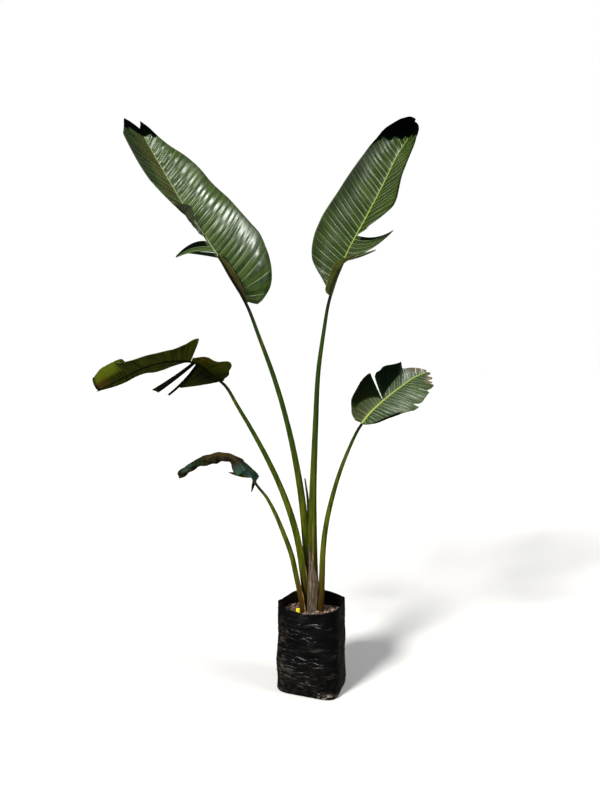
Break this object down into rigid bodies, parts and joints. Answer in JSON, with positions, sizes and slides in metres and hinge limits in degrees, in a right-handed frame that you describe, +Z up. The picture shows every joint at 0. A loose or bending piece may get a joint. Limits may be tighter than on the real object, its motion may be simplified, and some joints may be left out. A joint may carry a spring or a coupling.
{
  "type": "potted giant white bird of paradise",
  "caption": "Tall potted plant with long-stalked paddle leaves, some torn and folded, standing in a wrinkled black film grow bag of potting mix.",
  "frame": {"origin": "centre of the bag's flat base, on the floor", "axes": "+Z up along the plant's height, front of the plant towards -Y, +X to the right as seen from the front"},
  "size_m": [1.016, 0.2362, 1.7213],
  "materials": {
    "grow_bag": "satin",
    "potting_mix": "rough",
    "leaf": "glossy",
    "stalk": "satin",
    "dry_leaf": "rough",
    "plant_tag": "satin"
  },
  "bodies": {
    "root": {"grow_bag": "grow_bag", "potting_mix": "potting_mix", "left_tall_blade": "leaf", "right_tall_blade": "leaf", "left_arching_blade": "leaf", "left_low_blade": "leaf", "right_short_blade": "leaf", "left_tall_stalk": "stalk", "right_tall_stalk": "stalk", "left_arching_stalk": "stalk", "left_low_stalk": "stalk", "right_short_stalk": "stalk", "cut_stub": "dry_leaf", "dry_sheath": "dry_leaf", "plant_tag": "plant_tag"}
  },
  "joints": []
}
